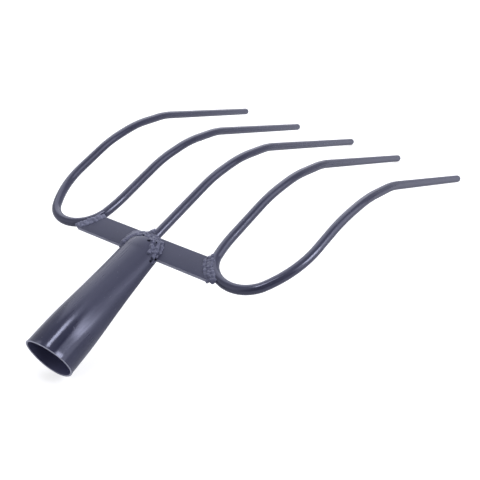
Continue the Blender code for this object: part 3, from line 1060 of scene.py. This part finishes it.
def add_world(look):
    """A pale room that is dark behind the camera, and white where the camera sees it."""
    world = bpy.data.worlds.new("studio")
    world.use_nodes = True
    bpy.context.scene.world = world
    nodes = Nodes(world.node_tree)
    where = nodes.node("ShaderNodeTexCoord", {}, {}, "Generated")
    ahead = nodes.axis(where, "Y")
    lit = nodes.ease(ahead * LIT_AHEAD - nodes.axis(where, "X") * LIT_LEFT, *LIT)
    high = nodes.ease(nodes.axis(where, "Z"), *CEILING)
    behind = nodes.ease(ahead * -1.0, *REAR)
    room = look.shade + lit * (look.room + (look.ceiling - look.room) * high + behind * look.rear)
    direct = nodes.ray("Is Camera Ray")
    strength = room + (1 - room) * direct
    tint = nodes.mix(direct, opaque(look.light_tint), WHITE)
    ground = nodes.node("ShaderNodeBackground", {}, {"Color": tint, "Strength": strength})
    nodes.node("ShaderNodeOutputWorld", {}, {"Surface": ground})


def direction(azimuth, elevation):
    """Unit vector: azimuth 0 is ahead of the fork and 90 on its right."""
    across = math.radians(azimuth)
    up = math.radians(elevation)
    return Vector((math.sin(across) * math.cos(up), math.cos(across) * math.cos(up), math.sin(up)))


def add_lamp(name, look):
    """A flat lamp that faces the lamp target. Brightness 1 shows as white."""
    azimuth, elevation, distance, width, height = LAMPS[name]
    towards = direction(azimuth, elevation)
    data = bpy.data.lights.new(name, "AREA")
    data.shape = "RECTANGLE"
    data.size = width
    data.size_y = height
    data.energy = getattr(look, name) * math.pi * width * height
    data.color = look.light_tint
    lamp = add_object(name, data)
    lamp.location = Vector(look.lamp_target) + towards * distance
    lamp.rotation_euler = towards.to_track_quat("Z", "Y").to_euler()
    lamp.visible_camera = False


def add_camera(look):
    data = bpy.data.cameras.new("camera")
    data.sensor_width = SENSOR
    data.lens = look.lens
    camera = add_object("camera", data)
    pose = Matrix.LocRotScale(Vector(look.camera_place), Euler(look.camera_turn), None)
    camera.matrix_world = head_frame() @ pose
    bpy.context.scene.camera = camera


# Operators


class FORK_OT_tine_pairs(Operator):
    """Builds the two rods that are bent to a U, whose legs are the outer and inner tines."""

    bl_idname = "fork.tine_pairs"
    bl_label = "Tine pairs"

    def execute(self, context):
        tines = context.scene.fork_tines
        material = rod_paint(context.scene.fork_paint)
        tip = (tines.tip_chamfer, tines.tip_length)
        for name, side in (("left_tine_pair", -1), ("right_tine_pair", 1)):
            rings = rod_rings(tines, pair_line(tines, side), tip, tip)
            add_piece(name, skin(rings, True), material)
        return {"FINISHED"}


class FORK_OT_centre_tine(Operator):
    """Builds the single tine in the middle."""

    bl_idname = "fork.centre_tine"
    bl_label = "Centre tine"

    def execute(self, context):
        tines = context.scene.fork_tines
        material = rod_paint(context.scene.fork_paint)
        rows = leg(tines, Vector((0, 0, 0)), tines.centre_splay, 0)
        tip = (tines.centre_tip_chamfer, tines.centre_tip_length)
        add_piece("centre_tine", skin(rod_rings(tines, rows, None, tip), True), material)
        return {"FINISHED"}


class FORK_OT_crossbar(Operator):
    """Builds the flat bar that joins the tines and the socket."""

    bl_idname = "fork.crossbar"
    bl_label = "Crossbar"

    def execute(self, context):
        look = context.scene.fork_paint
        bm = skin(bar_rings(context.scene.fork_tines, context.scene.fork_bar), True)
        bm.normal_update()
        # The bar's front and rear faces get the lighter paint: a painted sheen for the light they reflect
        for face in bm.faces:
            face.material_index = int(abs(face.normal.y) > SHEEN_FACING)
        piece = add_piece("crossbar", bm, bar_paint(look))
        piece.data.materials.append(bar_sheen_paint(look))
        return {"FINISHED"}


class FORK_OT_socket(Operator):
    """Builds the tapered tube that takes the handle."""

    bl_idname = "fork.socket"
    bl_label = "Socket"

    def execute(self, context):
        look = context.scene.fork_paint
        rings = socket_rings(context.scene.fork_socket, context.scene.fork_bar)
        bm = skin(rings, False)
        bm.faces.ensure_lookup_table()
        rim = bm.faces[-2 * SOCKET_SIDES :] + bm.faces[:SOCKET_SIDES]
        inside = bm.faces[len(rings) // 2 * SOCKET_SIDES : -2 * SOCKET_SIDES]
        # The rim gets its own light paint, and the inside the lighter inside paint as painted light
        for index, faces in enumerate((rim, inside), start=1):
            for face in faces:
                face.material_index = index
        piece = add_piece("socket", bm, socket_paint(look))
        piece.data.materials.append(rim_paint(look))
        piece.data.materials.append(lit_inside_paint(look))
        return {"FINISHED"}


class FORK_OT_socket_welds(Operator):
    """Builds the weld runs round the socket's nose, on both faces of the bar."""

    bl_idname = "fork.socket_welds"
    bl_label = "Socket welds"

    def execute(self, context):
        smooth = context.scene.fork_smooth_welds
        rough = context.scene.fork_rough_welds
        paint = weld_paint(context.scene.fork_paint)
        add_weld_pair("socket_left_weld", LEFT_RUN, cut_back(LEFT_RUN), -1, smooth, paint)
        add_weld_pair("socket_right_weld", RIGHT_RUN, cut_back(RIGHT_RUN), 1, rough, paint, GAS_PITS)
        add_weld_pair("socket_front_weld", FRONT_RUN, FRONT_RUN, 1, smooth, paint)
        return {"FINISHED"}


class FORK_OT_end_welds(Operator):
    """Builds the weld runs between the bar's ends and the rods, on both faces."""

    bl_idname = "fork.end_welds"
    bl_label = "End welds"

    def execute(self, context):
        smooth = context.scene.fork_smooth_welds
        rough = context.scene.fork_rough_welds
        paint = weld_paint(context.scene.fork_paint)
        # Painted light: the left end weld gets the lighter copy of the weld paint
        pale = brighter_lit_weld_paint(context.scene.fork_paint)
        add_weld_pair("left_end_weld", LEFT_END_RUN, cut_back(LEFT_END_RUN), -1, smooth, pale)
        add_weld_pair("right_end_weld", RIGHT_END_RUN, cut_back(RIGHT_END_RUN), 1, rough, paint)
        return {"FINISHED"}


class FORK_OT_centre_weld(Operator):
    """Builds the weld in the corner between the bar and the left side of the centre tine."""

    bl_idname = "fork.centre_weld"
    bl_label = "Centre weld"

    def execute(self, context):
        # Painted light: the centre weld gets the lighter copy of the weld paint
        paint = brighter_lit_weld_paint(context.scene.fork_paint)
        add_weld("centre_weld", CENTRE_RUN, context.scene.fork_smooth_welds, paint)
        return {"FINISHED"}


class FORK_OT_stage(Operator):
    """Adds the floor, the room, the lamps and the camera."""

    bl_idname = "fork.stage"
    bl_label = "Stage"

    def execute(self, context):
        look = context.scene.fork_stage
        add_floor(look)
        add_world(look)
        for name in LAMPS:
            add_lamp(name, look)
        add_camera(look)
        context.scene.view_settings.view_transform = "Standard"
        return {"FINISHED"}


class FORK_PT_panel(Panel):
    """Lists the steps and their sizes."""

    bl_idname = "FORK_PT_panel"
    bl_label = "Fork head"
    bl_space_type = "VIEW_3D"
    bl_region_type = "UI"
    bl_category = "Fork"

    def draw(self, context):
        for step in STEPS:
            self.layout.operator(step.bl_idname)
        for group in SETTINGS:
            box = self.layout.box()
            settings = getattr(context.scene, group)
            for key in settings.__annotations__:
                box.prop(settings, key)


STEPS = (
    FORK_OT_tine_pairs,
    FORK_OT_centre_tine,
    FORK_OT_crossbar,
    FORK_OT_socket,
    FORK_OT_socket_welds,
    FORK_OT_end_welds,
    FORK_OT_centre_weld,
    FORK_OT_stage,
)
SETTINGS = {
    "fork_tines": TineSizes,
    "fork_bar": BarSizes,
    "fork_socket": SocketSizes,
    "fork_smooth_welds": SmoothWeldSizes,
    "fork_rough_welds": RoughWeldSizes,
    "fork_paint": PaintLook,
    "fork_stage": StageLook,
}


def register():
    for key, group in SETTINGS.items():
        bpy.utils.register_class(group)
        setattr(bpy.types.Scene, key, PointerProperty(type=group))
    for step in STEPS:
        bpy.utils.register_class(step)
    bpy.utils.register_class(FORK_PT_panel)


def unregister():
    bpy.utils.unregister_class(FORK_PT_panel)
    for step in reversed(STEPS):
        bpy.utils.unregister_class(step)
    for key, group in SETTINGS.items():
        delattr(bpy.types.Scene, key)
        bpy.utils.unregister_class(group)


def main():
    register()
    bpy.ops.fork.tine_pairs()
    bpy.ops.fork.centre_tine()
    bpy.ops.fork.crossbar()
    bpy.ops.fork.socket()
    bpy.ops.fork.socket_welds()
    bpy.ops.fork.end_welds()
    bpy.ops.fork.centre_weld()
    bpy.ops.fork.stage()


if __name__ == "__main__":
    main()
